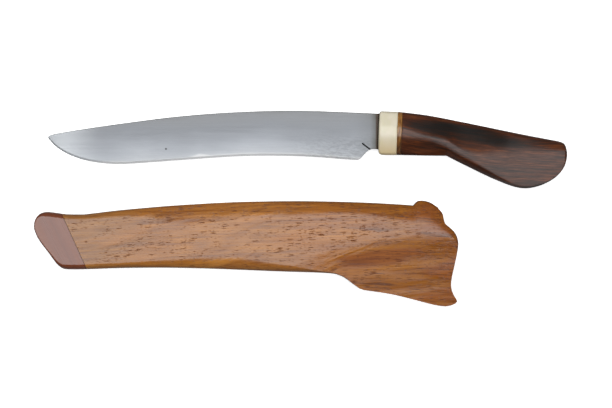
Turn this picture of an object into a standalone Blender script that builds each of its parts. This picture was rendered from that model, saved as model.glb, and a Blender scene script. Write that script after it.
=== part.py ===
"""Long curved field knife and its carved wooden scabbard, lying side by side.

The knife is a wedge-section blade with a stick tang, bedded in dark resin inside a bone bolster, a thin
amber ring and a rosewood handle. The scabbard is carved from two halves that meet on the plane of the
blade, with a darker toe cap pegged to its end.

Both are drawn in one local frame: x runs along the blade towards the pommel, y towards the spine and z out
of the near face, with the origin where the blade meets the bolster. A knife pushed home in its scabbard has
the two local frames together. Outlines are in millimetres; meshes are made in metres.
"""

import math

import bmesh
import bpy
from mathutils import Matrix, Vector

MM = 0.001

# ---- Driving dimensions, in millimetres ------------------------------------------------------------

GAP = 0.3  # air between pieces that touch

BLADE_LENGTH = 258.4
SPINE_THICKNESS = 4.0  # at the bolster
TIP_THICKNESS = 1.2
EDGE_THICKNESS = 0.24
BEVEL_HEIGHT = 1.6  # the sharpened strip along the edge
BEVEL_THICKNESS = 0.8  # blade thickness where that strip starts
SPINE_CHAMFER = 0.35
TAPER_POWER = 0.7  # the spine thickens fast behind the tip, then slowly
BELLY = (0.55, 0.62)  # the blade's side stands a little proud: at what share of its height, and how much

BLADE_BACK = -0.5  # the shoulder, just clear of the resin collar
RICASSO_LENGTH = 24.0  # stretch over which the edge thickens beside the bolster
RICASSO_BEVEL = 0.7  # how much thicker each side gets there, at the bevel and at the edge
RICASSO_EDGE = 0.9

# The tang, where it leaves the blade and at its end: height of its middle, half height, half thickness.
TANG_LENGTH = 78.0
TANG_MIDDLE = (0.3, -8.2)
TANG_HALF_HEIGHT = (5.7, 3.1)
TANG_HALF_THICKNESS = (1.35, 1.0)
BAR_FLATS = (0.7, 0.5)  # how much of a rounded bar's side and of its narrow face is flat
RESIN_WALL = 1.1
RESIN_END = 2.0  # resin beyond the tang's end
COLLAR_LIP = (0.2, 0.5)  # how far the collar stands out round the blade, in height and in thickness

BOLSTER_FRONT = 0.7
BOLSTER_RESTS = 1.7  # where along the knife the bolster touches the floor
RING_FRONT = 15.4
RING_BACK = 18.4
HANDLE_END = 147.2
HILT_LEAN = 0.04  # the hilt's joints lean back by this much for each millimetre of height
LEAN_SETS_IN = (-34.0, -4.0)
LEAN_FADES = (22.0, 62.0)
CORNER_WIDTH = 1.3  # rounding of the hilt's corners and of the ridge below its flank
RIDGE_STEP = 0.45  # how far the ridge's lower side is set in
BEVEL_CROWN = 0.25
JOINT_CHAMFER = 0.2

SEAM_TO_BACK = 14.5  # scabbard back half, flat and parallel to the seam
FRONT_AT_TOE = 10.0  # scabbard front half, growing towards the throat
FRONT_AT_MOUTH = 16.0
SLOT_HALF = 2.6  # half the thickness of the blade's slot
SLOT_MARGIN = 0.8  # room round the blade's outline
SLOT_END = 2.2  # room ahead of the blade's tip
SLOT_STEP = 4.0  # between the points of the slot's outline
RECESS_MARGIN = 0.6  # room round the bolster in the throat
RECESS_SECTION = 8.0  # where along the bolster the recess takes its section
RECESS_FLOOR = -1.2
TOE_X = -296.8
MOUTH_X = 33.2

PEG_RADIUS = 2.0
PEG_LENGTH = 17.0

# Where the two frames lie on the floor, measured from the middle of the whole set.
KNIFE_AT = (60.25, 58.5)
SCABBARD_AT = (89.15, -16.6)

# ---- Outlines, in millimetres, each with only the points its shape needs ---------------------------

SPINE = [(-258.4, -2.2), (-257.2, -1.4), (-254.7, -0.5), (-251, 0.3), (-234, 3.1), (-202.8, 7.6),
         (-156, 13.4), (-109, 16.8), (-62, 17.8), (-16, 16.2), (0, 15.4)]
EDGE = [(-258.4, -3.4), (-257.4, -4.6), (-254.3, -8.2), (-249.6, -12.0), (-242, -16.3), (-230, -20.6),
        (-217, -22.9), (-204, -23.7), (-189, -23.1), (-151, -20.4), (-114, -17.9), (-90, -17.2),
        (-58, -17.8), (-30, -19.7), (-15, -20.8), (0, -21.8)]
# Round the heel's corner, from the edge up into the notch.
CHOIL = [(-16.0, -20.7), (-14.6, -20.2), (-13.3, -19.3), (-12.2, -18.1), (-10.8, -16.3), (-9.1, -14.5),
         (-7.6, -13.3), (-6.0, -12.5)]
RICASSO_BOTTOM = -12.2
EDGE_STAYS_THIN = -22.0  # from here to the bolster the edge thickens into the ricasso
SLIT_FROM = (-5.4, -12.9)
SLIT_TO = (-12.2, -7.7)
SLIT_WIDTH = 1.15
SLIT_FLOOR = 0.5  # height of the slit's floor above the blade's middle plane

HILT_TOP = [(0, 17.6), (8, 17.2), (16, 16.9), (24, 16.0), (39, 14.1), (62, 9.7), (85, 5.0), (110, -0.2),
            (137, -5.4), (142, -6.4), (145, -7.8), (146.5, -10.2), (147.2, -12.6)]
HILT_BOTTOM_FRONT = [(0, -16.8), (16, -16.9), (36, -17.3), (53.4, -17.5)]
HILT_BOTTOM_BACK = [(53.4, -17.5), (62.4, -22.2), (75, -28.4), (87, -34.2), (99, -39.2), (106, -41.7),
                    (112.5, -43.0), (119, -42.7), (125, -41.3), (131, -38.8), (137, -35.4), (142, -30.8),
                    (145, -26.4), (146.5, -21.6), (147.2, -18.6)]
UNDERSIDE_CORNER = 53.4
# Share of the hilt's height, down from the top, at which its broad flank starts and ends.
FLANK_STARTS = [(0, 0.37), (18, 0.375), (26, 0.43), (36, 0.52), (45, 0.54), (55, 0.59), (63, 0.67),
                (73, 0.68), (83, 0.61), (93, 0.51), (104, 0.42), (126, 0.34), (147, 0.31)]
FLANK_ENDS = [(0, 0.59), (24, 0.585), (36, 0.605), (45, 0.65), (55, 0.76), (63, 0.80), (72, 0.82), (85, 0.86),
              (104, 0.92), (147, 0.93)]
# Half thickness at the top corner, on the flank, and at the bottom corner; then how far the flank is dished
# and how far the top facet is crowned.
HALF_TOP = [(0, 6.4), (25, 5.6), (50, 4.0), (80, 3.2), (100, 4.0), (130, 5.6), (147, 6.2)]
HALF_FLANK = [(0, 11.0), (30, 11.2), (60, 12.1), (80, 12.3), (97, 11.9), (118, 11.2), (147, 10.2)]
HALF_BOTTOM = [(0, 5.4), (50, 5.0), (75, 6.8), (100, 8.4), (120, 9.0), (147, 8.8)]
FLANK_DISH = [(0, 0.0), (50, 0.0), (72, 0.2), (90, 0.8), (115, 0.9), (147, 0.2)]
TOP_CROWN = [(0, 0.35), (30, 0.3), (50, 0.0), (75, 0.2), (95, 0.5), (147, 0.5)]

# Scabbard edge, in four stretches: bottom, toe, top and mouth. Each point is (edge x, edge y, face x, face y,
# height of the side wall above the seam). The face point is where the rounded bevel that starts at that edge
# point reaches the flat face.
SCABBARD_BOTTOM = [
    (32.2, -54.4, 30.2, -54.2, 4.6),
    (32.6, -55.9, 30.4, -54.9, 4.4),
    (31.2, -57.5, 29.5, -56.0, 4.2),
    (28.0, -58.9, 27.2, -56.9, 4.2),
    (23.8, -59.7, 23.5, -57.5, 4.2),
    (14.8, -58.5, 14.8, -56.3, 4.4),
    (-1.0, -54.4, -0.8, -52.2, 4.8),
    (-16.4, -50.6, -16.1, -48.4, 5.0),
    (-32.0, -48.0, -31.4, -45.8, 5.2),
    (-40.0, -46.9, -38.8, -44.6, 5.2),
    (-43.6, -45.7, -41.9, -43.5, 5.2),
    (-47.8, -42.8, -46.0, -40.5, 5.2),
    (-56.0, -36.7, -54.2, -34.0, 5.0),
    (-62.0, -34.4, -61.0, -31.2, 4.6),
    (-74.0, -33.4, -74.0, -29.3, 4.4),
    (-105.0, -32.4, -105.0, -26.6, 4.0),
    (-137.0, -31.1, -137.0, -21.4, 3.8),
    (-168.0, -30.0, -168.0, -21.6, 3.6),
    (-199.0, -29.5, -199.0, -23.6, 3.5),
    (-230.0, -29.8, -230.0, -25.6, 3.4),
    (-250.0, -30.5, -250.0, -26.4, 3.4),
]
SCABBARD_TOE = [
    (-250.0, -30.5, -250.0, -26.4, 3.4),
    (-262.0, -30.8, -261.5, -26.8, 3.5),
    (-268.5, -30.8, -267.0, -27.0, 3.6),
    (-272.8, -30.5, -270.8, -27.0, 3.8),
    (-276.0, -29.2, -274.2, -26.7, 4.2),
    (-279.2, -26.3, -277.6, -24.9, 4.6),
    (-286.0, -17.0, -285.0, -16.2, 5.2),
    (-292.3, -8.6, -291.4, -8.0, 5.6),
    (-295.1, -3.4, -294.2, -3.0, 5.6),
    (TOE_X, 2.4, -295.9, 2.3, 5.4),
    (-295.8, 8.1, -294.9, 7.3, 4.8),
    (-292.6, 12.3, -291.8, 10.2, 4.0),
    (-288.0, 13.9, -287.4, 9.8, 3.5),
    (-281.0, 13.4, -280.6, 9.0, 3.2),
    (-272.0, 12.2, -272.0, 7.9, 3.2),
    (-258.0, 12.0, -258.0, 7.5, 3.4),
]
SCABBARD_TOP = [
    (-258.0, 12.0, -258.0, 7.5, 3.4),
    (-230.0, 15.3, -230.0, 8.2, 3.6),
    (-206.0, 17.5, -206.0, 6.2, 3.7),
    (-190.0, 18.8, -190.0, 0.9, 3.8),
    (-166.0, 20.3, -166.0, -1.2, 3.9),
    (-150.0, 21.2, -150.0, 3.4, 4.0),
    (-134.0, 21.8, -134.0, 7.2, 4.0),
    (-90.0, 22.4, -90.0, 8.8, 4.2),
    (-43.0, 21.4, -43.0, 9.2, 4.6),
    (-12.0, 19.8, -12.0, 3.4, 4.7),
    (-1.6, 19.0, -1.6, 0.9, 4.4),
]
SCABBARD_MOUTH = [
    (-1.6, 19.0, -1.6, 0.9, 4.4),
    (0.3, 21.2, 0.4, 1.2, 3.9),
    (2.6, 22.6, 2.6, 0.4, 3.6),
    (7.0, 22.6, 6.2, -0.4, 3.6),
    (11.6, 21.3, 9.6, -1.2, 4.0),
    (16.0, 18.5, 12.8, -2.0, 4.9),
    (20.0, 15.2, 15.4, -2.8, 6.2),
    (21.8, 12.2, 17.4, -3.6, 7.6),
    (22.2, 8.8, 19.2, -4.5, 8.8),
    (23.4, 5.3, 21.2, -5.5, 9.8),
    (26.6, 2.1, 24.2, -6.8, 10.4),
    (30.0, -1.2, 27.4, -8.4, 10.8),
    (32.3, -5.6, 29.6, -10.6, 10.9),
    (MOUTH_X, -10.6, 30.6, -13.6, 11.2),
    (32.6, -16.5, 30.4, -17.8, 10.6),
    (30.4, -27.5, 28.2, -28.0, 8.4),
    (28.2, -38.0, 26.0, -38.2, 6.4),
    (27.8, -43.5, 25.6, -43.8, 5.6),
    (29.0, -48.8, 26.9, -49.6, 5.0),
    (32.2, -54.4, 30.2, -54.2, 4.6),
]
# How the bevel rounds over: share of the way to the face point, then share of the height to the face on a
# narrow bevel and on a wide one.
BEVEL_CURVE = [(0.0, 0.0, 0.0), (0.03, 0.24, 0.14), (0.1, 0.45, 0.28), (0.24, 0.66, 0.48), (0.42, 0.82, 0.69),
               (0.6, 0.92, 0.85), (0.76, 0.968, 0.94), (0.9, 0.993, 0.985), (1.0, 1.0, 1.0)]
NARROW_BEVEL = 8.0
WIDE_BEVEL = 16.0
BACK_BEVEL_CURVE = [(0.0, 0.0), (0.06, 0.4), (0.3, 0.8), (1.0, 1.0)]
BACK_BEVEL_SHARE = 0.45  # the back's bevel against the front's
BACK_WALL_SHARE = 0.8
EDGE_STEP = 7.0  # between points on the long sides, on the toe and on the mouth
TOE_STEP = 3.0
MOUTH_STEP = 2.6

# Below this ridge the front face falls away towards the throat's lower corner: by how much at each distance
# below the ridge, where the fall starts along the scabbard, where it is full, and how it grows at the mouth.
RIDGE = [(-115, -28.0), (-92, -20.5), (-60, -12.5), (-27, -5.5), (0, -3.5), (45, -5.0)]
RIDGE_FALL = [(-6, -0.6), (0, 0.0), (3, 0.25), (6, 0.8), (10, 1.65), (15, 2.75), (20, 3.6), (28, 4.8),
              (38, 6.6), (60, 10.5)]
FALL_SETS_IN = (-115.0, -50.0)
FALL_GROWS = (-40.0, 36.0, 0.3)
FALL_LIFT = 0.3  # clearance of the cutter over the face where there is no fall
FALL_STEP = 8.0  # between the cutter's sections
FALL_DEPTH = 12.0  # how far the cutter reaches above the face

# The toe cap's joint, a plane square to the face: its upper and lower ends.
TOE_JOINT = ((-274.6, 11.7), (-255.6, -29.9))
PEG_HEIGHTS = {"toe_peg_upper": 6.6, "toe_peg_lower": -21.5}

# name: (colour, roughness, metallic)
FINISHES = {
    "steel": ((0.56, 0.57, 0.58), 0.34, 1.0),
    "resin": ((0.05, 0.045, 0.03), 0.5, 0.0),
    "bone": ((0.84, 0.78, 0.6), 0.32, 0.0),
    "horn": ((0.34, 0.17, 0.05), 0.3, 0.0),
    "rosewood": ((0.09, 0.035, 0.022), 0.28, 0.0),
    "teak": ((0.42, 0.2, 0.075), 0.38, 0.0),
    "redwood": ((0.24, 0.075, 0.035), 0.3, 0.0),
    "peg": ((0.5, 0.36, 0.2), 0.6, 0.0),
}


# ---- Curves ----------------------------------------------------------------------------------------


def tangents(stops, values):
    """Slope at each stop of a smooth curve through the values."""
    last = len(stops) - 1
    slopes = []
    for i in range(len(stops)):
        a, b = max(i - 1, 0), min(i + 1, last)
        slopes.append((values[b] - values[a]) / (stops[b] - stops[a]))
    return slopes


def on_span(share, width, start, end, slope_start, slope_end):
    """Cubic between two values with given slopes, at a share of the span."""
    s2, s3 = share * share, share**3
    return (
        start * (2 * s3 - 3 * s2 + 1)
        + end * (3 * s2 - 2 * s3)
        + slope_start * width * (s3 - 2 * s2 + share)
        + slope_end * width * (s3 - s2)
    )


def height_at(line, x):
    """Height at x on the smooth line through points that run left to right."""
    xs = [p[0] for p in line]
    ys = [p[1] for p in line]
    if x <= xs[0]:
        return ys[0]
    if x >= xs[-1]:
        return ys[-1]
    i = max(k for k in range(len(xs) - 1) if xs[k] <= x)
    slopes = tangents(xs, ys)
    width = xs[i + 1] - xs[i]
    return on_span((x - xs[i]) / width, width, ys[i], ys[i + 1], slopes[i], slopes[i + 1])


def smooth_path(stations, longest):
    """Stations on a smooth path through the given ones, none further apart than about longest.

    A station's first two numbers are its place; the rest follow smoothly. The last station is left out,
    because the next path starts with it.
    """
    stops = [0.0]
    for a, b in zip(stations, stations[1:]):
        stops.append(stops[-1] + math.dist(a[:2], b[:2]))
    columns = list(zip(*stations))
    slopes = [tangents(stops, column) for column in columns]
    path = []
    for i in range(len(stations) - 1):
        width = stops[i + 1] - stops[i]
        count = max(1, math.ceil(width / longest))
        for k in range(count):
            share = k / count
            path.append(tuple(
                on_span(share, width, column[i], column[i + 1], slope[i], slope[i + 1])
                for column, slope in zip(columns, slopes)
            ))
    return path


def between(ends, share):
    return ends[0] + (ends[1] - ends[0]) * share


def eased(x, start, end):
    """0 before start, 1 after end, smooth between."""
    share = min(max((x - start) / (end - start), 0.0), 1.0)
    return share * share * (3 - 2 * share)


# ---- Scene helpers ---------------------------------------------------------------------------------


def clear_scene():
    for obj in list(bpy.data.objects):
        bpy.data.objects.remove(obj)


def new_collection(name):
    made = bpy.data.collections.new(name)
    bpy.context.scene.collection.children.link(made)
    return made


def new_material(name):
    colour, roughness, metallic = FINISHES[name]
    made = bpy.data.materials.new(name)
    made.use_nodes = True
    shader = made.node_tree.nodes["Principled BSDF"]
    shader.inputs["Base Color"].default_value = (*colour, 1.0)
    shader.inputs["Roughness"].default_value = roughness
    shader.inputs["Metallic"].default_value = metallic
    made.diffuse_color = (*colour, 1.0)
    return made


def new_object(name, mesh, collection, parent, finish=None):
    made = bpy.data.objects.new(name, mesh)
    collection.objects.link(made)
    made.parent = parent
    if finish:
        mesh.materials.append(MATERIALS[finish])
        mesh.shade_smooth()
        mesh.set_sharp_from_angle(angle=math.radians(35))
    else:
        made.hide_render = True
        made.display_type = "WIRE"
    return made


def lofted(name, rings):
    """Closed mesh through rings of matching points, in millimetres, with its two ends capped."""
    shape = bmesh.new()
    rows = [[shape.verts.new(Vector(p) * MM) for p in ring] for ring in rings]
    for low, high in zip(rows, rows[1:]):
        for i in range(len(low)):
            j = (i + 1) % len(low)
            shape.faces.new((low[i], low[j], high[j], high[i]))
    shape.faces.new(rows[0])
    shape.faces.new(rows[-1])
    bmesh.ops.recalc_face_normals(shape, faces=shape.faces)
    mesh = bpy.data.meshes.new(name)
    shape.to_mesh(mesh)
    shape.free()
    return mesh


def extruded(name, outline, half_thickness):
    """Closed mesh of a flat outline, in millimetres, given thickness both ways along z."""
    curve = bpy.data.curves.new(name, "CURVE")
    curve.dimensions = "2D"
    curve.fill_mode = "BOTH"
    curve.extrude = half_thickness * MM
    spline = curve.splines.new("POLY")
    spline.points.add(len(outline) - 1)
    for point, (x, y) in zip(spline.points, outline):
        point.co = (x * MM, y * MM, 0.0, 1.0)
    spline.use_cyclic_u = True
    drawn = bpy.data.objects.new(name + "_curve", curve)
    bpy.context.scene.collection.objects.link(drawn)
    graph = bpy.context.evaluated_depsgraph_get()
    mesh = bpy.data.meshes.new_from_object(drawn.evaluated_get(graph))
    bpy.data.objects.remove(drawn)
    shape = bmesh.new()
    shape.from_mesh(mesh)
    bmesh.ops.remove_doubles(shape, verts=shape.verts, dist=0.00001)
    bmesh.ops.recalc_face_normals(shape, faces=shape.faces)
    shape.to_mesh(mesh)
    shape.free()
    return mesh


def cut(obj, cutter, operation="DIFFERENCE"):
    modifier = obj.modifiers.new(cutter.name, "BOOLEAN")
    modifier.operation = operation
    modifier.object = cutter
    modifier.solver = "EXACT"


def mirrored_ring(x, half):
    """Ring at x from the (y, z) points of its near half, which start and end on the middle plane."""
    far = [(y, -z) for y, z in reversed(half[1:-1])]
    return [(x + lean_at(x) * y, y, z) for y, z in half + far]


def lean_at(x):
    """How much the knife's cross-sections lean back at x, for each millimetre of height."""
    return HILT_LEAN * eased(x, *LEAN_SETS_IN) * (1 - eased(x, *LEAN_FADES))


# ---- Blade -----------------------------------------------------------------------------------------


def blade_ring(x):
    spine, edge = height_at(SPINE, x), height_at(EDGE, x)
    height = spine - edge
    along = (x + BLADE_LENGTH) / BLADE_LENGTH
    back = between((TIP_THICKNESS, SPINE_THICKNESS), along**TAPER_POWER) / 2
    chamfer = min(SPINE_CHAMFER, 0.15 * height)
    bevel = min(BEVEL_HEIGHT, 0.3 * height)
    # The edge thickens into the flat stretch beside the bolster.
    flat = eased(x, EDGE_STAYS_THIN, 0)
    bevel_half = min(BEVEL_THICKNESS / 2 + RICASSO_BEVEL * flat, back)
    edge_half = EDGE_THICKNESS / 2 + RICASSO_EDGE * flat
    belly_height, belly_share = BELLY
    half = [
        (spine, 0.0),
        (spine, back - chamfer * 0.8),
        (spine - chamfer, back),
        (edge + belly_height * height, between((bevel_half, back), belly_share)),
        (edge + bevel, bevel_half),
        (edge, edge_half),
        (edge, 0.0),
    ]
    return mirrored_ring(x, half)


def box_ring(x, middle, half_height, half_thickness):
    """Ring of a rounded bar, with as many points as a blade ring."""
    side, narrow = BAR_FLATS[0] * half_height, BAR_FLATS[1] * half_thickness
    half = [
        (middle + half_height, 0.0),
        (middle + half_height, narrow),
        (middle + side, half_thickness),
        (middle, half_thickness),
        (middle - side, half_thickness),
        (middle - half_height, narrow),
        (middle - half_height, 0.0),
    ]
    return mirrored_ring(x, half)


def tang_ring(x, grow=0.0):
    """Section of the tang at x, or of what surrounds it when grow is more than zero."""
    along = x / TANG_LENGTH
    middle = between(TANG_MIDDLE, along)
    half_height = between(TANG_HALF_HEIGHT, along) + grow
    return box_ring(x, middle, half_height, between(TANG_HALF_THICKNESS, along) + grow)


def choil_outline():
    curve = smooth_path([*CHOIL, (-4.0, RICASSO_BOTTOM)], 1.2)
    start = CHOIL[0][0] - 1.0
    return [(start, -30.0), (start, -21.2), *[p[:2] for p in curve], (-4.0, RICASSO_BOTTOM),
            (4.0, RICASSO_BOTTOM), (4.0, -30.0)]


def slit_outline():
    start, end = Vector(SLIT_FROM), Vector(SLIT_TO)
    along = (end - start).normalized()
    side = Vector((-along.y, along.x)) * SLIT_WIDTH / 2
    return [start + side, start - side, end - side, end + along * SLIT_WIDTH / 2, end + side]


def make_blade():
    stations = 30
    plain = BLADE_LENGTH - RICASSO_LENGTH
    stops = [plain * (i / stations) ** 1.5 - BLADE_LENGTH for i in range(stations + 1)]
    stops += [-RICASSO_LENGTH * share for share in (0.75, 0.55, 0.35, 0.18)] + [BLADE_BACK]
    rings = [blade_ring(x) for x in stops]
    rings += [tang_ring(x) for x in (BLADE_BACK, TANG_LENGTH)]
    blade = new_object("blade", lofted("blade", rings), PARTS, KNIFE, "steel")
    choil = new_object("choil_cutter", extruded("choil_cutter", choil_outline(), 5.0), CUTTERS, KNIFE)
    cut(blade, choil)
    for side, name in ((1, "slit_near_cutter"), (-1, "slit_far_cutter")):
        slit = new_object(name, extruded(name, [tuple(p) for p in slit_outline()], 1.0), CUTTERS, KNIFE)
        slit.location.z = side * (1.0 + SLIT_FLOOR) * MM
        cut(blade, slit)


# ---- Hilt ------------------------------------------------------------------------------------------


def hilt_bottom(x):
    return height_at(HILT_BOTTOM_FRONT if x <= UNDERSIDE_CORNER else HILT_BOTTOM_BACK, x)


def hilt_ring(x, inset=0.0, heel_inset=0.0):
    """Section of bolster, ring and handle: a top facet, a broad flank and a lower bevel on each side."""
    top, bottom = height_at(HILT_TOP, x) - inset, hilt_bottom(x) + inset + heel_inset
    height = top - bottom
    flank_start = top - height * height_at(FLANK_STARTS, x)
    flank_end = top - height * height_at(FLANK_ENDS, x)
    half_top = height_at(HALF_TOP, x) - inset
    flank = height_at(HALF_FLANK, x) - inset
    half_bottom = height_at(HALF_BOTTOM, x) - inset
    dish = height_at(FLANK_DISH, x)
    crown = height_at(TOP_CROWN, x)
    corner = min(CORNER_WIDTH, 0.09 * height)
    ridge = min(CORNER_WIDTH, 0.05 * height)
    half = [
        (top, 0.0),
        (top - 0.1 * corner, 0.6 * half_top),
        (top - corner, half_top),
        ((top - corner + flank_start) / 2, (half_top + flank) / 2 + crown),
        (flank_start, flank),
        ((flank_start + flank_end) / 2, flank - dish),
        (flank_end + ridge, flank),
        (flank_end - ridge, flank - RIDGE_STEP),
        ((flank_end - ridge + bottom + corner) / 2, (flank + half_bottom) / 2 + BEVEL_CROWN),
        (bottom + corner, half_bottom),
        (bottom + 0.1 * corner, 0.6 * half_bottom),
        (bottom, 0.0),
    ]
    return mirrored_ring(x, half)


def sleeve_cutter(name, back):
    """Cutter for the channel that the resin sleeve fills, GAP clear of it."""
    rings = [tang_ring(x, RESIN_WALL + 2 * GAP) for x in (-6.0, back)]
    return new_object(name, lofted(name, rings), CUTTERS, KNIFE)


def make_resin():
    """Resin that beds the tang: a closed sleeve with a thin collar between blade and bolster."""
    collar_front, collar_back = BLADE_BACK + GAP, BOLSTER_FRONT - GAP
    base = blade_ring(BLADE_BACK)
    ricasso_top = max(p[1] for p in base)
    middle = (ricasso_top + RICASSO_BOTTOM) / 2
    half_height = (ricasso_top - RICASSO_BOTTOM) / 2 + COLLAR_LIP[0]
    half_thickness = SPINE_THICKNESS / 2 + COLLAR_LIP[1]
    back_end = TANG_LENGTH + RESIN_END
    rings = [
        tang_ring(TANG_LENGTH + GAP, GAP),
        tang_ring(collar_front, GAP),
        box_ring(collar_front, middle, half_height, half_thickness),
        box_ring(collar_back, middle, half_height, half_thickness),
        tang_ring(collar_back, RESIN_WALL + GAP),
        tang_ring(back_end, RESIN_WALL + GAP),
    ]
    new_object("tang_resin", lofted("tang_resin", rings), PARTS, KNIFE, "resin")


def make_bolster():
    # (x, inset all round, further inset of the lower front corner)
    front = [(0.0, 1.1, 2.8), (0.35, 0.5, 1.7), (1.0, 0.1, 0.9), (2.0, 0.0, 0.35), (3.6, 0.0, 0.0)]
    rings = [hilt_ring(BOLSTER_FRONT + x, inset, heel) for x, inset, heel in front]
    back = RING_FRONT - GAP
    rings += [hilt_ring(x) for x in (9.0, back - JOINT_CHAMFER)]
    rings.append(hilt_ring(back, JOINT_CHAMFER))
    bolster = new_object("bolster", lofted("bolster", rings), PARTS, KNIFE, "bone")
    cut(bolster, sleeve_cutter("bolster_slot_cutter", TANG_LENGTH))


def make_ring():
    stops = [(RING_FRONT, 0.15), (RING_FRONT + 0.2, 0.0), (RING_BACK - 0.2, 0.0), (RING_BACK, 0.15)]
    rings = [hilt_ring(x, inset) for x, inset in stops]
    ring = new_object("spacer_ring", lofted("spacer_ring", rings), PARTS, KNIFE, "horn")
    cut(ring, sleeve_cutter("ring_slot_cutter", TANG_LENGTH))


def make_handle():
    front = RING_BACK + GAP
    stops = [front + 0.25, 24, 30, 37, 44, 50, UNDERSIDE_CORNER, 57, 62, 68, 75, 82, 89, 96, 102, 107.5, 113,
             118.5, 124, 129, 133.5, 137.5, 140.5, 143, 144.8, 146]
    rings = [hilt_ring(front, JOINT_CHAMFER)] + [hilt_ring(x) for x in stops]
    rings += [hilt_ring(146.8, 0.7), hilt_ring(HANDLE_END, 1.9)]
    handle = new_object("handle", lofted("handle", rings), PARTS, KNIFE, "rosewood")
    cut(handle, sleeve_cutter("handle_channel_cutter", TANG_LENGTH + RESIN_END + GAP))


# ---- Scabbard --------------------------------------------------------------------------------------


def scabbard_edge():
    bottom, toe = smooth_path(SCABBARD_BOTTOM, EDGE_STEP), smooth_path(SCABBARD_TOE, TOE_STEP)
    return bottom + toe + smooth_path(SCABBARD_TOP, EDGE_STEP) + smooth_path(SCABBARD_MOUTH, MOUTH_STEP)


def face_height(x):
    """Height of the front face above the seam, growing evenly from toe to mouth."""
    return FRONT_AT_TOE + (FRONT_AT_MOUTH - FRONT_AT_TOE) * (x - TOE_X) / (MOUTH_X - TOE_X)


def front_rings(start):
    """Rings from the seam out to the front face."""
    edge = scabbard_edge()
    rings = [[(x, y, start) for x, y, _, _, _ in edge]]
    for share, narrow_rise, wide_rise in BEVEL_CURVE:
        ring = []
        for x, y, face_x, face_y, wall in edge:
            wide = eased(math.dist((x, y), (face_x, face_y)), NARROW_BEVEL, WIDE_BEVEL)
            rise = narrow_rise + wide * (wide_rise - narrow_rise)
            px, py = x + share * (face_x - x), y + share * (face_y - y)
            ring.append((px, py, wall + rise * (face_height(px) - wall)))
        rings.append(ring)
    return rings


def back_rings(start):
    """Rings from the seam down to the flat back."""
    edge = scabbard_edge()
    rings = [[(x, y, -start) for x, y, _, _, _ in edge]]
    for share, rise in BACK_BEVEL_CURVE:
        ring = []
        for x, y, face_x, face_y, wall in edge:
            reach = share * BACK_BEVEL_SHARE
            px, py = x + reach * (face_x - x), y + reach * (face_y - y)
            wall = BACK_WALL_SHARE * wall
            ring.append((px, py, -(wall + rise * (SEAM_TO_BACK - wall))))
        rings.append(ring)
    return rings


def fall_rings():
    """Cutter over the front face below the ridge: its underside is the falling face."""
    rings = []
    start, end, growth = FALL_GROWS
    first, last = RIDGE[0][0], RIDGE[-1][0]
    count = round((last - first) / FALL_STEP)
    for i in range(count + 1):
        x = first + (last - first) * i / count
        full = eased(x, *FALL_SETS_IN)
        grown = 1 + growth * eased(x, start, end)
        top = face_height(x) + FALL_DEPTH
        under = []
        for below, fall in RIDGE_FALL:
            height = face_height(x) + FALL_LIFT * (1 - full) - fall * (full * grown if fall > 0 else 1.0)
            under.append((x, height_at(RIDGE, x) - below, height))
        rings.append(under + [(x, under[-1][1], top), (x, under[0][1], top)])
    return rings


def pocket_outline():
    """What the blade's outline sweeps as the blade is drawn straight out, with room round it."""
    def widening(line, side):
        """The line's points from the tip on, as long as it still moves away from the middle."""
        found = []
        for i in range(1, math.floor(BLADE_LENGTH / SLOT_STEP)):
            x = -BLADE_LENGTH + SLOT_STEP * i
            y = height_at(line, x) + side * SLOT_MARGIN
            if found and side * y <= side * found[-1][1] + 0.01:
                break
            found.append((x, y))
        return found

    above, below = widening(SPINE, 1), widening(EDGE, -1)
    behind_tip = -BLADE_LENGTH - SLOT_END
    out = MOUTH_X + 6
    tip = [(behind_tip, -5.0), (behind_tip, -1.6)]
    return tip + above + [(out, above[-1][1]), (out, below[-1][1])] + below[::-1]


def recess_rings():
    """Throat recess that takes the bolster and the front of the handle, straight along x."""
    section = hilt_ring(RECESS_SECTION, -RECESS_MARGIN)
    return [[(x + HILT_LEAN * y, y, z) for _, y, z in section] for x in (RECESS_FLOOR, MOUTH_X + 8)]


def toe_block(name, shift):
    """Cutter that covers everything on the toe side of the cap's joint, moved along x by shift."""
    upper, lower = Vector(TOE_JOINT[0]), Vector(TOE_JOINT[1])
    along = (upper - lower).normalized() * 30
    upper, lower = upper + along, lower - along
    beyond = TOE_X - 20
    outline = [(upper.x + shift, upper.y), (beyond, upper.y), (beyond, lower.y), (lower.x + shift, lower.y)]
    return new_object(name, extruded(name, outline, 30.0), CUTTERS, SCABBARD)


def joint_x(y):
    (upper_x, upper_y), (lower_x, lower_y) = TOE_JOINT
    return upper_x + (y - upper_y) * (lower_x - upper_x) / (lower_y - upper_y)


def new_peg(name, y, radius, length, collection, finish=None):
    """Round peg along x, centred on the cap's joint."""
    shape = bmesh.new()
    turn = Matrix.Rotation(math.radians(90), 4, "Y")
    bmesh.ops.create_cone(shape, cap_ends=True, segments=20, radius1=radius * MM, radius2=radius * MM,
                          depth=length * MM, matrix=turn)
    mesh = bpy.data.meshes.new(name)
    shape.to_mesh(mesh)
    shape.free()
    peg = new_object(name, mesh, collection, SCABBARD, finish)
    peg.location = (joint_x(y) * MM, y * MM, 0.0)
    return peg


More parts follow.
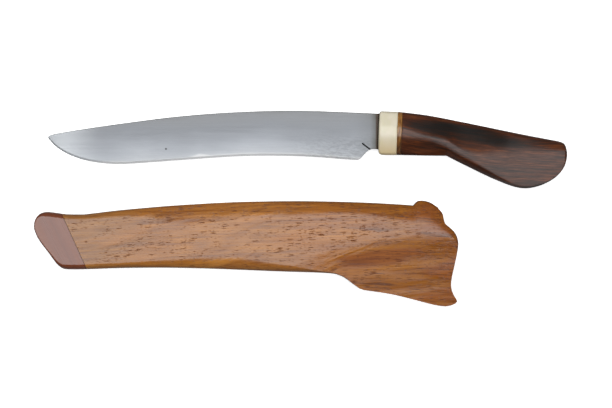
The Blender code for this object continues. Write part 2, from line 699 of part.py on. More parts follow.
def make_scabbard():
    pocket = new_object("blade_pocket_cutter", extruded("blade_pocket_cutter", pocket_outline(), SLOT_HALF),
                        CUTTERS, SCABBARD)
    recess, fall = (
        new_object(name, lofted(name, rings), CUTTERS, SCABBARD)
        for name, rings in (("throat_recess_cutter", recess_rings()), ("throat_fall_cutter", fall_rings()))
    )
    body_cutter = toe_block("body_toe_cutter", GAP / 2)
    cap_block = toe_block("cap_block_cutter", -GAP / 2)
    peg_cutters = []
    for name, y in PEG_HEIGHTS.items():
        new_peg(name, y, PEG_RADIUS, PEG_LENGTH, PARTS, "peg")
        peg_cutters.append(new_peg(name + "_cutter", y, PEG_RADIUS + GAP, PEG_LENGTH + 2 * GAP, CUTTERS))
    halves = {
        "scabbard_front": front_rings(GAP / 2),
        "scabbard_back": back_rings(GAP / 2),
    }
    for name, rings in halves.items():
        half = new_object(name, lofted(name, rings), PARTS, SCABBARD, "teak")
        if name == "scabbard_front":
            cut(half, fall)
        for cutter in (body_cutter, pocket, recess, *peg_cutters):
            cut(half, cutter)
    whole = list(reversed(back_rings(GAP / 2)[1:])) + front_rings(GAP / 2)[1:]
    cap = new_object("toe_cap", lofted("toe_cap", whole), PARTS, SCABBARD, "redwood")
    cut(cap, cap_block, "INTERSECT")
    for cutter in peg_cutters:
        cut(cap, cutter)


# ---- Placing ---------------------------------------------------------------------------------------


def new_frame(name):
    made = bpy.data.objects.new(name, None)
    bpy.context.scene.collection.objects.link(made)
    return made


def lay_on_floor():
    """The scabbard lies on its flat back. The knife tips forward until its point and its bolster touch."""
    SCABBARD.location = (SCABBARD_AT[0] * MM, SCABBARD_AT[1] * MM, SEAM_TO_BACK * MM)
    bolster_half = height_at(HALF_FLANK, 0)
    tilt = math.atan2(bolster_half - TIP_THICKNESS / 2, BLADE_LENGTH + BOLSTER_RESTS)
    KNIFE.rotation_euler = (0.0, -tilt, 0.0)
    KNIFE.location = (KNIFE_AT[0] * MM, KNIFE_AT[1] * MM, 0.0)
    bpy.context.view_layer.update()
    pieces = [child for child in KNIFE.children if child.users_collection[0] == PARTS]
    lowest = min((piece.matrix_world @ v.co).z for piece in pieces for v in piece.data.vertices)
    KNIFE.location.z = -lowest


clear_scene()
PARTS = new_collection("knife_and_scabbard")
CUTTERS = new_collection("cutters")
MATERIALS = {name: new_material(name) for name in FINISHES}
KNIFE = new_frame("knife_frame")
SCABBARD = new_frame("scabbard_frame")

make_blade()
make_resin()
make_bolster()
make_ring()
make_handle()
make_scabbard()
lay_on_floor()
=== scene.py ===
"""Looks of the curved field knife and its carved wooden scabbard: fine meshes, materials, light, camera.

Every visible piece is a finer copy of its CAD node's mesh: split corners are joined again, triangles are
paired, edges are eased where the real piece is round, and it gets a procedural material. The two hidden
pegs keep their CAD meshes. Lengths are in metres, angles in degrees, and colours are linear.
"""

import math

import bmesh
import bpy
from mathutils import Euler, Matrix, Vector


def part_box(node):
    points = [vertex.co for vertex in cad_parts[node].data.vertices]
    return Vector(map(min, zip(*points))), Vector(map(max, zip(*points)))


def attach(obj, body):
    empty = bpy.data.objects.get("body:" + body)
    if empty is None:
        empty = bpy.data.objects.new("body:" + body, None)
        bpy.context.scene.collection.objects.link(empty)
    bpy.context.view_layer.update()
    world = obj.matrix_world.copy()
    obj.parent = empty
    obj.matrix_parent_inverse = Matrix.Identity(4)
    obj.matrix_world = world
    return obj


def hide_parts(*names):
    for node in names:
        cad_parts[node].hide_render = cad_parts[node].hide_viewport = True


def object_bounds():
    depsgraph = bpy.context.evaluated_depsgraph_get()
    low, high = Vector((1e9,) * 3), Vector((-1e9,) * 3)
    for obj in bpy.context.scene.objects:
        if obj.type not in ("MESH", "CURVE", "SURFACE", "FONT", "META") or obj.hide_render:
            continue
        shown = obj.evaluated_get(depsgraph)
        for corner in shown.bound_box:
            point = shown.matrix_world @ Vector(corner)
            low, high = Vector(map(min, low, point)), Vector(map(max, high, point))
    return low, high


MM = 0.001
WHITE = (1.0, 1.0, 1.0)

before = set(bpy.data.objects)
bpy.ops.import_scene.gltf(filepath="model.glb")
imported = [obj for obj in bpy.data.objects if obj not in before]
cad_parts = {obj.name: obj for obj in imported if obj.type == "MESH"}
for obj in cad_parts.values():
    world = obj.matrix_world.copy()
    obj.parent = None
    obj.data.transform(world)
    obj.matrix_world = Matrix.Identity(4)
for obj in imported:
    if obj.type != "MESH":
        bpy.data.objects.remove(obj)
CAD_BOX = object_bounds()
CENTRE = (CAD_BOX[0] + CAD_BOX[1]) / 2

# ---- Shapes ----------------------------------------------------------------------------------------

WELD = 0.02 * MM  # corners closer than this are one corner
PAIR_BEND = 40.0  # two triangles make a quad if they bend less than this
PAIR_SKEW = 60.0  # and if the quad's corners lean less than this

# An edge of the hilt has no crease below the first turn, and a full one from the second.
CREASE_NONE = 8.0
CREASE_FULL = 45.0
# The handle swells into its pommel between these shares of its length. From there on, an edge that turns
# less than the first angle loses its crease, and one that turns more than the second keeps it.
SWELL_START = 0.40
SWELL_END = 0.60
SWELL_NONE = 30.0
SWELL_FULL = 40.0
ROUNDING_LEVELS = 2

# Beyond this share of the handle's length the pommel's ridges are rounded, in this many passes.
POMMEL_START = 0.62
POMMEL_PASSES = 4
POMMEL_SMOOTHING = 0.5

# Edges that turn more than this shade as corners.
SHARP_BLADE = 6.0
SHARP_RESIN = 35.0
SHARP_HILT = 60.0
SHARP_SCABBARD = 32.0

# The point attribute that says how far across the blade a point lies, and how far along the blade the
# edge and the spine beside it are looked for.
ACROSS = "across"
ACROSS_REACH = 9.0 * MM

# The slit at the blade's heel: how far it reaches ahead of the bolster, then heights above the edge.
SLIT_REACH = 13.8 * MM
SLIT_LOW = 9.8 * MM
SLIT_MIDDLE = 12.2 * MM
SLIT_HIGH = 17.2 * MM

# The resin's collar: how far its middle and its end lie behind its front, how far its faces lean back
# per unit of width and forward per unit of height, and how much it grows each way.
COLLAR_MIDDLE = 0.3 * MM
COLLAR_END = 0.9 * MM
COLLAR_LEAN = 0.04
COLLAR_REACH = 0.28 * MM

RING_REACH = 0.25 * MM  # how much the ring grows each way, to meet the bolster and the handle

# ---- Light, floor and camera -----------------------------------------------------------------------

LAMP_HEIGHT = 2.1
LAMP_SIZE = 2.1
LAMP_POWER = 62.0
LAMP_SHIFT = 0.45  # the lamp hangs this far beyond the spine side
LAMP_COLOUR = (0.98, 0.99, 1.0)

# Brightness of the studio by height on its dome, 0 at the horizon and 1 overhead: pale walls, a dim
# ceiling round the lamp, and a pale patch above.
STUDIO = [(0.0, 0.34), (0.42, 0.34), (0.60, 0.04), (0.80, 0.04), (1.0, 0.30)]

FLOOR_HALF = 6.0
FLOOR_CELLS = 8
FLOOR_COLOUR = (0.93, 0.93, 0.93)
FLOOR_BOUNCE = (0.2, 0.2, 0.2)  # the floor's colour for the light that it throws back on the object
FLOOR_GLOW = 0.6  # lifts the floor to white, so shadows on it stay faint
FLOOR_NEAR = 0.8  # this far from the middle the glow starts to grow
FLOOR_FAR = 2.5  # and here the floor glows fully white

CAMERA_LENS = 200.0
CAMERA_SENSOR = 36.0
VIEW_WIDTH = 0.4774  # width of the picture at the height of the blade
VIEW_CENTRE = Vector((0.00405, 0.0035, 0.013))

# ---- Colours ---------------------------------------------------------------------------------------

# The steel's colour from the edge, 0, to the spine, 1, with a painted reflection in it: paler towards
# the edge, darker towards the spine.
STEEL_AND_REFLECTION_EDGE_TO_SPINE = [
    (0.0, (0.215, 0.224, 0.236)),
    (0.16, (0.180, 0.190, 0.204)),
    (0.40, (0.142, 0.150, 0.163)),
    (0.66, (0.112, 0.118, 0.128)),
    (0.86, (0.113, 0.117, 0.123)),
    (1.0, (0.102, 0.104, 0.107)),
]
# painted highlight at the tip, where the lamp's reflection lies
STEEL_TIP_HIGHLIGHT = (0.275, 0.287, 0.298)
STEEL_EDGE = (0.340, 0.340, 0.340)
STEEL_WORN = (0.085, 0.089, 0.094)
STEEL_STAIN = (0.028, 0.026, 0.018)
# painted shade along the joint with the bolster, partly a smear of resin
STEEL_RESIN_AND_SHADE = (0.020, 0.011, 0.005)
STEEL_PIT = (0.012, 0.012, 0.012)

# painted shade inside the slit, partly forge scale
SLIT_SHADE_DARK = (0.004, 0.004, 0.004)
SLIT_SHADE_PALE = (0.012, 0.011, 0.010)

RESIN_DARK = (0.018, 0.013, 0.007)
RESIN_PALE = (0.045, 0.034, 0.018)

BONE_COOL = (0.58, 0.535, 0.39)
BONE_WARM = (0.62, 0.56, 0.44)
BONE_UNDER = (0.57, 0.46, 0.27)
BONE_LINE = (0.57, 0.475, 0.295)
BONE_GLOW_DEPTH = (4.0 * MM, 3.0 * MM, 2.0 * MM)

HORN = [
    (0.1, (0.05, 0.022, 0.01)),
    (0.4, (0.15, 0.06, 0.015)),
    (0.65, (0.29, 0.14, 0.036)),
]

ROSEWOOD = [
    (0.34, (0.006, 0.004, 0.003)),
    (0.44, (0.020, 0.007, 0.003)),
    (0.51, (0.046, 0.012, 0.004)),
    (0.58, (0.095, 0.025, 0.006)),
    (0.68, (0.155, 0.047, 0.013)),
]

TEAK_TOE_TO_THROAT = [
    (0.05, (0.400, 0.172, 0.036)),
    (0.25, (0.405, 0.152, 0.020)),
    (0.48, (0.460, 0.185, 0.030)),
    (0.64, (0.410, 0.145, 0.014)),
    (0.88, (0.385, 0.138, 0.010)),
    (1.0, (0.280, 0.080, 0.005)),
]
# dark flamed figure by the throat, partly painted shade where the carving turns away from the lamp
TEAK_FLAME_AND_SHADE = (0.255, 0.062, 0.002)
TEAK_VEIN = (0.120, 0.028, 0.002)
TEAK_SHADE = (0.42, 0.31, 0.22)
TEAK_PORE = (0.070, 0.012, 0.002)
TEAK_SHEEN = (0.82, 0.95, 1.0)

REDWOOD = [
    (0.25, (0.105, 0.021, 0.005)),
    (0.50, (0.145, 0.032, 0.007)),
    (0.75, (0.185, 0.048, 0.012)),
]

PEG_DARK = (0.34, 0.21, 0.10)
PEG_PALE = (0.52, 0.36, 0.19)


# ---- Meshes ----------------------------------------------------------------------------------------


def welded(node):
    """The CAD node's mesh with its split corners joined again."""
    shape = bmesh.new()
    shape.from_mesh(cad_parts[node].data)
    bmesh.ops.remove_doubles(shape, verts=shape.verts, dist=WELD)
    return shape


def pair_triangles(shape):
    """Joins triangles into quads wherever two of them make a fair one."""
    bmesh.ops.join_triangles(
        shape,
        faces=shape.faces,
        angle_face_threshold=math.radians(PAIR_BEND),
        angle_shape_threshold=math.radians(PAIR_SKEW),
    )


def share_of(value, low, high):
    """Where a value lies between low, 0, and high, 1."""
    return min(max((value - low) / (high - low), 0.0), 1.0)


def crease(shape):
    """Creases edges by how sharply they turn; in the pommel only the sharpest keep a crease."""
    low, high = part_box("handle")
    layer = shape.edges.layers.float.new("crease_edge")
    for edge in shape.edges:
        turn = math.degrees(edge.calc_face_angle(0.0))
        along = share_of((edge.verts[0].co.x + edge.verts[1].co.x) / 2, low.x, high.x)
        swell = share_of(along, SWELL_START, SWELL_END)
        easing = swell * (1.0 - share_of(turn, SWELL_NONE, SWELL_FULL))
        edge[layer] = share_of(turn, CREASE_NONE, CREASE_FULL) * (1.0 - easing)


def finished_mesh(shape, name, sharp):
    """A clean smooth-shaded mesh from the shape, without the CAD node's stored normals."""
    for stored in list(shape.loops.layers.float_vector.values()):
        shape.loops.layers.float_vector.remove(stored)
    mesh = bpy.data.meshes.new(name)
    shape.to_mesh(mesh)
    shape.free()
    stored = mesh.attributes.get("custom_normal")
    if stored:
        mesh.attributes.remove(stored)
    mesh.shade_smooth()
    mesh.set_sharp_from_angle(angle=math.radians(sharp))
    return mesh


def new_piece(name, mesh, body, node, material):
    """Adds a piece that rides on a body and stands for a CAD node."""
    mesh.materials.append(material)
    piece = bpy.data.objects.new(name, mesh)
    bpy.context.scene.collection.objects.link(piece)
    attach(piece, body)
    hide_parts(node)
    return piece


def subdivide(piece):
    modifier = piece.modifiers.new("rounding", "SUBSURF")
    modifier.levels = ROUNDING_LEVELS
    modifier.render_levels = ROUNDING_LEVELS


# ---- Nodes of a material ---------------------------------------------------------------------------

# A noise's values lie mostly between these two.
NOISE_LOW = 0.3
NOISE_HIGH = 0.7


def set_stops(ramp, stops):
    """Gives a colour ramp its (place, colour) pairs."""
    elements = ramp.color_ramp.elements
    while len(elements) < len(stops):
        elements.new(1.0)
    for element, (place, colour) in zip(elements, stops):
        element.position = place
        element.color = (*colour, 1.0)


class Graph:
    """A material's node tree, with short ways to add the few kinds of node used here."""

    def __init__(self, name):
        self.material = bpy.data.materials.new(name)
        self.material.use_nodes = True
        self.nodes = self.material.node_tree.nodes
        self.links = self.material.node_tree.links
        self.shader = self.nodes["Principled BSDF"]
        self.place = self.nodes.new("ShaderNodeTexCoord").outputs["Object"]

    def feed(self, socket, value):
        """Links an output into a socket, or sets the socket to a number, a colour or a vector."""
        if isinstance(value, bpy.types.NodeSocket):
            self.links.new(value, socket)
        elif socket.type == "RGBA" and len(value) == 3:
            socket.default_value = (*value, 1.0)
        else:
            socket.default_value = value

    def set(self, **values):
        """Sets or links the shader's sockets, named with underscores for spaces."""
        for name, value in values.items():
            self.feed(self.shader.inputs[name.replace("_", " ")], value)

    def math(self, operation, a, b=0.0):
        node = self.nodes.new("ShaderNodeMath")
        node.operation = operation
        self.feed(node.inputs[0], a)
        self.feed(node.inputs[1], b)
        return node.outputs[0]

    def add(self, a, b):
        return self.math("ADD", a, b)

    def minus(self, a, b):
        return self.math("SUBTRACT", a, b)

    def times(self, a, b):
        return self.math("MULTIPLY", a, b)

    def larger(self, a, b):
        return self.math("MAXIMUM", a, b)

    def weighted(self, *parts):
        """The sum of (value, weight) parts."""
        total, *rest = [self.times(value, weight) for value, weight in parts]
        for term in rest:
            total = self.add(total, term)
        return total

    def remap(self, value, low, high, to_low=0.0, to_high=1.0, smooth=True):
        """Value moved from the range low..high to to_low..to_high, and clamped."""
        node = self.nodes.new("ShaderNodeMapRange")
        node.interpolation_type = "SMOOTHSTEP" if smooth else "LINEAR"
        for socket, number in zip(node.inputs, (value, low, high, to_low, to_high)):
            self.feed(socket, number)
        return node.outputs[0]

    def spread(self, noise, low=0.0, high=1.0):
        """A noise spread over the range low..high."""
        return self.remap(noise, NOISE_LOW, NOISE_HIGH, low, high)

    def split(self, vector=None):
        """The x, y and z of a vector, or of the object's own coordinates."""
        node = self.nodes.new("ShaderNodeSeparateXYZ")
        self.feed(node.inputs[0], vector or self.place)
        return node.outputs

    def stretched(self, scale, turn=0.0, shift=(0.0, 0.0, 0.0), source=None):
        """The object's own coordinates, or a source's, times scale, after a turn about the vertical.

        A pattern drawn on them has as many grains to the metre along x, y and z as scale says.
        """
        turned = self.nodes.new("ShaderNodeMapping")
        self.feed(turned.inputs["Vector"], source or self.place)
        turned.inputs["Rotation"].default_value = (0.0, 0.0, math.radians(turn))
        turned.inputs["Location"].default_value = shift
        sized = self.nodes.new("ShaderNodeMapping")
        self.feed(sized.inputs["Vector"], turned.outputs[0])
        sized.inputs["Scale"].default_value = scale
        return sized.outputs[0]

    def bent(self, pivot, curve):
        """The object's own coordinates with y bent along x: level at the pivot, steeper away from it."""
        x, y, z = self.split()
        away = self.minus(pivot, x)
        drop = self.times(self.times(away, away), curve)
        node = self.nodes.new("ShaderNodeCombineXYZ")
        for socket, value in zip(node.inputs, (x, self.minus(y, drop), z)):
            self.feed(socket, value)
        return node.outputs[0]

    def noise(self, vector, detail=3.0, roughness=0.55, distortion=0.0):
        node = self.nodes.new("ShaderNodeTexNoise")
        self.feed(node.inputs["Vector"], vector)
        node.inputs["Scale"].default_value = 1.0
        node.inputs["Detail"].default_value = detail
        node.inputs["Roughness"].default_value = roughness
        node.inputs["Distortion"].default_value = distortion
        return node.outputs["Fac"]

    def cells(self, vector):
        """Distance to the nearest cell's middle, and that cell's own random number."""
        node = self.nodes.new("ShaderNodeTexVoronoi")
        self.feed(node.inputs["Vector"], vector)
        node.inputs["Scale"].default_value = 1.0
        return node.outputs["Distance"], self.split(node.outputs["Color"])[0]

    def spot(self, middle, half_length, half_width, turn, ragged):
        """A long soft spot: 1 at its middle, 0 outside; ragged is a noise that frays its edge."""
        flat = Vector((middle.x, middle.y, 0.0))
        flat.rotate(Euler((0.0, 0.0, math.radians(turn))))
        u, v, _ = self.split(self.stretched((1 / half_length, 1 / half_width, 0.0), turn, -flat))
        away = self.add(self.times(u, u), self.times(v, v))
        return self.remap(self.add(away, self.spread(ragged, 0.4, -0.4)), 1.2, 0.3)

    def attribute(self, name):
        node = self.nodes.new("ShaderNodeAttribute")
        node.attribute_name = name
        return node.outputs["Fac"]

    def ramp(self, value, stops):
        """Colours along a value: (place, colour) pairs."""
        node = self.nodes.new("ShaderNodeValToRGB")
        self.feed(node.inputs[0], value)
        set_stops(node, stops)
        return node.outputs["Color"]

    def mix(self, share, a, b, blend="MIX"):
        node = self.nodes.new("ShaderNodeMix")
        node.data_type = "RGBA"
        node.blend_type = blend
        self.feed(node.inputs["Factor"], share)
        self.feed(node.inputs[6], a)
        self.feed(node.inputs[7], b)
        return node.outputs[2]

    def bump(self, height, depth, strength):
        """Relief for the shading: where the height is 1 it stands depth metres proud."""
        node = self.nodes.new("ShaderNodeBump")
        node.inputs["Strength"].default_value = strength
        node.inputs["Distance"].default_value = depth
        self.feed(node.inputs["Height"], height)
        self.feed(self.shader.inputs["Normal"], node.outputs[0])


def inside(box, along, across):
    """A point of a box, by its shares of the way along x and y."""
    low, high = box
    return Vector((low.x + along * (high.x - low.x), low.y + across * (high.y - low.y), 0.0))


# ---- Materials of the knife ------------------------------------------------------------------------


def steel():
    """Satin forged steel: streaks along the blade, a painted reflection that pales it towards the edge,
    a painted highlight at the tip, a bright edge, a worn and stained heel, a painted shade line at the
    bolster partly of resin, pits.
    """
    g = Graph("satin_steel")
    tip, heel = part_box("blade")[0].x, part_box("bolster")[0].x
    x = g.split()[0]
    across = g.attribute(ACROSS)
    streaks = g.noise(g.stretched((14.0, 1100.0, 200.0)), detail=4.0, roughness=0.6)
    clouds = g.noise(g.stretched((14.0, 45.0, 20.0)), detail=3.0)

    wander = g.spread(clouds, -0.10, 0.10)
    paler_ahead = g.remap(x, tip + 50 * MM, heel - 50 * MM, -0.10, 0.0)
    # painted reflection: the ramp pales the steel towards the edge
    body = g.ramp(g.add(g.add(across, wander), paler_ahead), STEEL_AND_REFLECTION_EDGE_TO_SPINE)
    body = g.mix(0.35, body, g.remap(streaks, 0.25, 0.75, 0.35, 0.65, smooth=False), "OVERLAY")
    # painted highlight: the tip paler, where the lamp's reflection lies
    body = g.mix(g.remap(x, tip + 45 * MM, tip + 8 * MM, 0.0, 0.8), body, STEEL_TIP_HIGHLIGHT)
    body = g.mix(g.remap(across, 0.09, 0.03, 0.0, 0.8), body, STEEL_EDGE)

    mottle = g.noise(g.stretched((240.0, 800.0, 300.0), 8.0), detail=4.0, roughness=0.7, distortion=0.4)
    near_heel = g.times(g.remap(x, heel - 85 * MM, heel - 30 * MM), g.remap(across, 0.75, 0.25))
    body = g.mix(g.times(near_heel, g.remap(mottle, 0.40, 0.62, 0.15, 0.55)), body, STEEL_WORN)

    wide_stain = g.remap(x, heel - 22 * MM, heel)
    narrow_stain = g.remap(x, heel - 7 * MM, heel - 2 * MM)
    stain = g.weighted((wide_stain, 0.35), (narrow_stain, 0.45))
    body = g.mix(g.times(stain, g.spread(clouds, 0.7, 1.1)), body, STEEL_STAIN)
    # painted shade: a dark line on the blade along its joint with the bolster, partly a smear of resin
    body = g.mix(g.remap(x, heel - 2.4 * MM, heel - 1.2 * MM), body, STEEL_RESIN_AND_SHADE)

    far, chance = g.cells(g.stretched((95.0, 95.0, 0.0)))
    pits = g.times(g.remap(far, 0.095, 0.05), g.math("GREATER_THAN", chance, 0.80))
    body = g.mix(pits, body, STEEL_PIT)

    polish = g.remap(streaks, 0.2, 0.8, 0.28, 0.46, smooth=False)
    g.set(Base_Color=body, Metallic=0.6, Roughness=polish)
    g.bump(streaks, 0.03 * MM, 0.5)
    return g.material


def slit_shade():
    """Painted shade inside the sawn slit: near black, partly forge scale."""
    g = Graph("slit_shade")
    grains = g.noise(g.stretched((900.0, 900.0, 900.0)))
    g.set(Base_Color=g.mix(grains, SLIT_SHADE_DARK, SLIT_SHADE_PALE), Roughness=0.85, Specular_IOR_Level=0.1)
    g.bump(grains, 0.1 * MM, 0.5)
    return g.material


def resin():
    """Dark matt resin with small clouds."""
    g = Graph("dark_resin")
    clouds = g.noise(g.stretched((400.0, 400.0, 400.0)))
    g.set(Base_Color=g.mix(clouds, RESIN_DARK, RESIN_PALE), Roughness=0.6, Specular_IOR_Level=0.12)
    g.bump(clouds, 0.1 * MM, 0.4)
    return g.material


def bone():
    """Polished cream bone: soft clouds, faint growth lines, yellower towards the edge's side."""
    g = Graph("cream_bone")
    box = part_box("bolster")
    y = g.split()[1]
    lines = g.noise(g.stretched((500.0, 60.0, 300.0)), detail=3.0)
    clouds = g.noise(g.stretched((130.0, 130.0, 130.0)), detail=2.0)
    body = g.mix(g.spread(clouds), BONE_COOL, BONE_WARM)
    body = g.mix(g.remap(y, inside(box, 0.0, 0.5).y, box[0].y), body, BONE_UNDER)
    body = g.mix(g.remap(lines, 0.55, 0.75, 0.0, 0.25), body, BONE_LINE)
    polish = g.spread(clouds, 0.34, 0.46)
    g.set(Base_Color=body, Roughness=polish, Subsurface_Weight=0.08, Subsurface_Radius=BONE_GLOW_DEPTH)
    g.bump(lines, 0.05 * MM, 0.4)
    return g.material


def horn():
    """Amber horn with brown streaks across the ring, darker towards the edge's side."""
    g = Graph("amber_horn")
    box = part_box("spacer_ring")
    y = g.split()[1]
    streaks = g.noise(g.stretched((900.0, 160.0, 300.0)), detail=3.0)
    under = g.remap(y, inside(box, 0.0, 0.6).y, box[0].y)
    body = g.ramp(g.minus(streaks, g.times(under, 0.35)), HORN)
    g.set(Base_Color=body, Roughness=0.24, Specular_IOR_Level=0.4)
    g.bump(streaks, 0.05 * MM, 0.3)
    return g.material


def rosewood():
    """Dark oiled rosewood: red-brown streaks that level out in the pommel, and a near-black heart."""
    g = Graph("dark_rosewood")
    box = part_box("handle")
    grain = g.bent(box[1].x, 0.8)
    fine = g.noise(g.stretched((70.0, 1500.0, 1500.0), source=grain), detail=4.0, roughness=0.7)
    wide_grain = g.stretched((14.0, 420.0, 420.0), source=grain)
    broad = g.noise(wide_grain, detail=5.0, roughness=0.7, distortion=0.5)
    cloud = g.noise(g.stretched((24.0, 130.0, 130.0), source=grain), detail=3.0, distortion=0.8)
    heart = g.spot(inside(box, 0.40, 0.71), 52 * MM, 6.2 * MM, 11.0, broad)
    tone = g.weighted((fine, 0.36), (broad, 0.42), (cloud, 0.24))
    body = g.ramp(g.minus(tone, g.times(heart, 0.15)), ROSEWOOD)
    g.set(Base_Color=body, Roughness=g.spread(fine, 0.42, 0.28), Specular_IOR_Level=0.27)
    g.bump(fine, 0.1 * MM, 0.5)
    return g.material


# ---- Materials of the scabbard ---------------------------------------------------------------------


def pores(g, scale, turn, crowded, rare):
    """Short dark marks along the grain: few where the wood is quiet and many where it is crowded."""
    far, chance = g.cells(g.stretched(scale, turn))
    odds = g.add(chance, g.times(crowded, 0.45))
    return g.times(g.remap(far, 0.42, 0.2), g.remap(odds, rare, rare + 0.12))


def teak_holes(g, box, lean):
    """The wood's open pores, in drifts that climb across the grain and crowd towards the throat."""
    climbing = g.stretched((22.0, 120.0, 120.0), -24.0, (0.3, 0.1, 0.0))
    drift = g.noise(climbing, detail=2.0, distortion=0.5)
    towards_throat = g.remap(g.split()[0], box[0].x, box[1].x, -0.2, 0.35)
    crowded = g.add(g.remap(drift, 0.47, 0.60), towards_throat)
    lines = g.noise(g.stretched((22.0, 620.0, 620.0), lean), detail=2.0, distortion=0.2)
    dashes = pores(g, (120.0, 1500.0, 1500.0), lean, crowded, 0.88)
    specks = pores(g, (300.0, 2000.0, 2000.0), lean, crowded, 0.80)
    holes = g.larger(dashes, g.times(specks, 0.6))
    return g.larger(holes, g.times(g.remap(lines, 0.60, 0.72), 0.4))


def teak():
    """Varnished golden-brown wood: streaks, drifts of dark pores, veins, and a dark flamed figure by the
    throat, partly painted shade where the carving turns away from the lamp.
    """
    g = Graph("golden_teak")
    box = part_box("scabbard_front")
    lean = -2.0
    x = g.split()[0]
    fibre = g.noise(g.stretched((55.0, 1700.0, 1700.0), lean), detail=2.0, roughness=0.6)
    wide_grain = g.stretched((12.0, 380.0, 380.0), lean)
    streak = g.noise(wide_grain, detail=5.0, roughness=0.66, distortion=0.3)
    cloud = g.noise(g.stretched((16.0, 60.0, 60.0), -14.0), detail=2.0, distortion=0.8)

    wander = g.spread(cloud, -30 * MM, 30 * MM)
    along = g.remap(g.add(x, wander), box[0].x, box[1].x, smooth=False)
    body = g.ramp(along, TEAK_TOE_TO_THROAT)
    # painted shade, partly the wood's own dark flamed figure: a dark spot by the throat where the
    # carving turns away from the lamp
    flame_and_shade = g.spot(inside(box, 0.80, 0.46), 40 * MM, 6.5 * MM, -7.0, streak)
    body = g.mix(g.times(flame_and_shade, 0.7), body, TEAK_FLAME_AND_SHADE)

    rising = g.stretched((13.0, 420.0, 420.0), 3.0, (0.1, 0.2, 0.0))
    veins = g.noise(rising, detail=5.0, roughness=0.75, distortion=0.5)
    veined = g.times(g.remap(veins, 0.52, 0.63, 0.0, 0.75), g.remap(x, 20 * MM, 60 * MM))
    body = g.mix(veined, body, TEAK_VEIN)

    tone = g.weighted((fibre, 0.22), (streak, 0.48), (cloud, 0.34))
    shade = g.mix(1.0, body, TEAK_SHADE, "MULTIPLY")
    body = g.mix(g.remap(tone, 0.38, 0.66, smooth=False), shade, body)
    holes = teak_holes(g, box, lean)
    body = g.mix(g.times(holes, 0.9), body, TEAK_PORE)

    polish = g.spread(fibre, 0.27, 0.39)
    rough = g.larger(g.larger(polish, g.times(holes, 0.95)), g.times(flame_and_shade, 0.75))
    g.set(Base_Color=body, Roughness=rough, Specular_IOR_Level=0.50, Specular_Tint=TEAK_SHEEN)
    relief = g.minus(g.times(fibre, 0.3), holes)
    carving = g.times(cloud, 12.0)
    g.bump(g.add(relief, carving), 0.14 * MM, 0.6)
    return g.material


def redwood():
    """Polished dark red-brown wood with a close, quiet grain along the slanted joint."""
    g = Graph("dark_redwood")
    turn = 62.0
    fine = g.noise(g.stretched((30.0, 1560.0, 1560.0), turn), detail=3.0, roughness=0.65)
    broad = g.noise(g.stretched((7.0, 182.0, 182.0), turn), detail=3.0, distortion=0.4)
    body = g.ramp(g.weighted((fine, 0.4), (broad, 0.6)), REDWOOD)
    g.set(Base_Color=body, Roughness=g.spread(fine, 0.27, 0.35), Specular_IOR_Level=0.6)
    g.bump(fine, 0.04 * MM, 0.3)
    return g.material


def pale_peg():
    """Bare turned wood."""
    g = Graph("bare_peg")
    fibre = g.noise(g.stretched((30.0, 1800.0, 1800.0)), detail=3.0, roughness=0.65)
    g.set(Base_Color=g.mix(fibre, PEG_DARK, PEG_PALE), Roughness=0.6)
    g.bump(fibre, 0.1 * MM, 0.5)
    return g.material


# ---- Pieces ----------------------------------------------------------------------------------------


def mark_across(mesh):
    """Stores how far each point of the blade lies from the edge, 0, to the spine, 1."""
    points = [v.co for v in mesh.vertices]
    values = mesh.attributes.new(ACROSS, "FLOAT", "POINT")
    for i, point in enumerate(points):
        near = [p.y for p in points if abs(p.x - point.x) < ACROSS_REACH]
        low, high = min(near), max(near)
        values.data[i].value = (point.y - low) / max(high - low, MM)


def mark_slit(shape):
    """Gives the second material, the painted shade, to the faces of the slit sawn at the blade's heel.
    """
    heel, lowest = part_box("bolster")[0].x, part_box("blade")[0].y
    for face in shape.faces:
        xs = [v.co.x for v in face.verts]
        ys = [v.co.y - lowest for v in face.verts]
        beside = heel - SLIT_REACH < min(xs) and max(xs) < heel
        level = SLIT_LOW < min(ys) and SLIT_MIDDLE < max(ys) < SLIT_HIGH
        face.material_index = 1 if beside and level else 0


def make_blade():
    shape = welded("blade")
    mark_slit(shape)
    pair_triangles(shape)
    mesh = finished_mesh(shape, "knife_blade", SHARP_BLADE)
    mark_across(mesh)
    piece = new_piece("knife_blade", mesh, "knife", "blade", steel())
    # the slit's faces get the painted shade
    piece.data.materials.append(slit_shade())


def make_resin():
    """The sleeve that beds the tang, its collar widened along x until it meets blade and bolster."""
    shape = welded("tang_resin")
    depths = [v.co.x + COLLAR_LEAN * (v.co.z - v.co.y) for v in shape.verts]
    front = min(depths)
    for vertex, depth in zip(shape.verts, depths):
        behind = depth - front
        if behind < COLLAR_MIDDLE:
            vertex.co.x -= COLLAR_REACH
        elif behind < COLLAR_END:
            vertex.co.x += COLLAR_REACH
    pair_triangles(shape)
    mesh = finished_mesh(shape, "knife_resin", SHARP_RESIN)
    new_piece("knife_resin", mesh, "knife", "tang_resin", resin())


def round_pommel(shape):
    """Rounds the pommel's ridges in height only, so its outline stays."""
    low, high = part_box("handle")
    start = low.x + POMMEL_START * (high.x - low.x)
    pommel = [v for v in shape.verts if v.co.x > start]
    for _ in range(POMMEL_PASSES):
        bmesh.ops.smooth_vert(shape, verts=pommel, factor=POMMEL_SMOOTHING, use_axis_z=True)


def widen_ring(piece):
    """Widens the ring along x until it meets its neighbours."""
    low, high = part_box("spacer_ring")
    middle = (low.x + high.x) / 2
    for vertex in piece.data.vertices:
        vertex.co.x += RING_REACH if vertex.co.x > middle else -RING_REACH


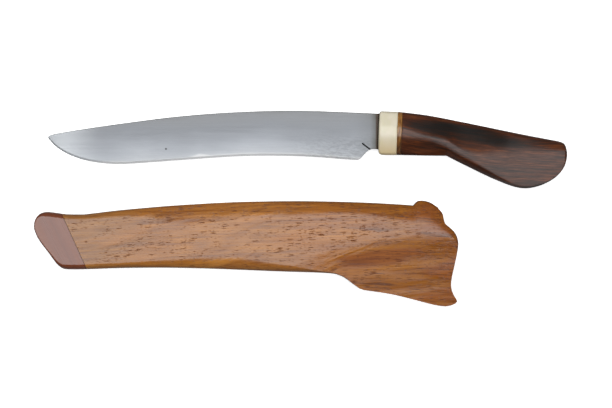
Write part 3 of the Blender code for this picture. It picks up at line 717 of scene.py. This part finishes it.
def make_hilt():
    for node, slot, material in (
        ("bolster", "bone", bone()),
        ("spacer_ring", "horn", horn()),
        ("handle", "rosewood", rosewood()),
    ):
        shape = welded(node)
        pair_triangles(shape)
        if node == "handle":
            round_pommel(shape)
        crease(shape)
        name = "knife_" + node
        mesh = finished_mesh(shape, name, SHARP_HILT)
        piece = new_piece(name, mesh, "knife", node, material)
        subdivide(piece)
        if node == "spacer_ring":
            widen_ring(piece)


def flatten_faces(piece):
    """Lets the broad flat faces keep their own direction, so only the bevels beside them shade round."""
    modifier = piece.modifiers.new("flat_faces", "WEIGHTED_NORMAL")
    modifier.mode = "FACE_AREA"
    modifier.keep_sharp = True


def make_scabbard():
    wood = teak()
    for node, slot, material in (
        ("scabbard_front", "teak", wood),
        ("scabbard_back", "teak", wood),
        ("toe_cap", "redwood", redwood()),
    ):
        shape = welded(node)
        pair_triangles(shape)
        name = "carved_" + node
        mesh = finished_mesh(shape, name, SHARP_SCABBARD)
        piece = new_piece(name, mesh, "scabbard", node, material)
        flatten_faces(piece)


def finish_pegs():
    """The hidden pegs keep their CAD meshes and get their own material."""
    peg = pale_peg()
    for node in ("toe_peg_upper", "toe_peg_lower"):
        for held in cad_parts[node].material_slots:
            held.material = peg


# ---- Stage -----------------------------------------------------------------------------------------


def make_floor():
    """A white sheet that lights the object's undersides only a little."""
    shape = bmesh.new()
    bmesh.ops.create_grid(shape, x_segments=FLOOR_CELLS, y_segments=FLOOR_CELLS, size=FLOOR_HALF)
    mesh = bpy.data.meshes.new("floor")
    shape.to_mesh(mesh)
    shape.free()
    g = Graph("pale_floor")
    seen = g.nodes.new("ShaderNodeLightPath").outputs["Is Camera Ray"]
    x, y, _ = g.split()
    away = g.larger(g.math("ABSOLUTE", x), g.math("ABSOLUTE", y))
    glow = g.remap(away, FLOOR_NEAR, FLOOR_FAR, FLOOR_GLOW, 1.0)
    g.set(Base_Color=g.mix(seen, FLOOR_BOUNCE, FLOOR_COLOUR), Roughness=0.9, Specular_IOR_Level=0.0)
    g.set(Emission_Color=WHITE, Emission_Strength=g.times(seen, glow))
    mesh.materials.append(g.material)
    floor = bpy.data.objects.new("floor", mesh)
    floor.location = (0.0, 0.0, CAD_BOX[0].z)
    bpy.context.scene.collection.objects.link(floor)


def make_lamp():
    lamp = bpy.data.lights.new("soft_overhead", "AREA")
    lamp.shape = "SQUARE"
    lamp.size = LAMP_SIZE
    lamp.energy = LAMP_POWER
    lamp.color = LAMP_COLOUR
    placed = bpy.data.objects.new("soft_overhead", lamp)
    placed.location = (CENTRE.x, CENTRE.y + LAMP_SHIFT, LAMP_HEIGHT)
    placed.visible_camera = False
    bpy.context.scene.collection.objects.link(placed)


def make_world():
    """A studio with pale walls and a dim ceiling; the camera itself sees white."""
    world = bpy.data.worlds.new("pale_studio")
    world.use_nodes = True
    nodes, links = world.node_tree.nodes, world.node_tree.links
    rise = nodes.new("ShaderNodeSeparateXYZ")
    links.new(nodes.new("ShaderNodeTexCoord").outputs["Generated"], rise.inputs[0])
    brightness = nodes.new("ShaderNodeValToRGB")
    set_stops(brightness, [(height, (level, level, level)) for height, level in STUDIO])
    links.new(rise.outputs["Z"], brightness.inputs[0])
    lit = nodes["Background"]
    links.new(brightness.outputs["Color"], lit.inputs["Color"])
    seen = nodes.new("ShaderNodeBackground")
    seen.inputs["Color"].default_value = (*WHITE, 1.0)
    either = nodes.new("ShaderNodeMixShader")
    links.new(nodes.new("ShaderNodeLightPath").outputs["Is Camera Ray"], either.inputs[0])
    links.new(lit.outputs[0], either.inputs[1])
    links.new(seen.outputs[0], either.inputs[2])
    links.new(either.outputs[0], nodes["World Output"].inputs["Surface"])
    bpy.context.scene.world = world


def make_camera():
    """Straight above, as in the photograph."""
    lens = bpy.data.cameras.new("camera")
    lens.lens = CAMERA_LENS
    lens.sensor_width = CAMERA_SENSOR
    placed = bpy.data.objects.new("camera", lens)
    distance = VIEW_WIDTH * CAMERA_LENS / CAMERA_SENSOR
    placed.location = VIEW_CENTRE + Vector((0.0, 0.0, distance))
    bpy.context.scene.collection.objects.link(placed)
    bpy.context.scene.camera = placed


make_blade()
make_resin()
make_hilt()
make_scabbard()
finish_pegs()
make_floor()
make_lamp()
make_world()
make_camera()
bpy.context.scene.view_settings.view_transform = "Standard"
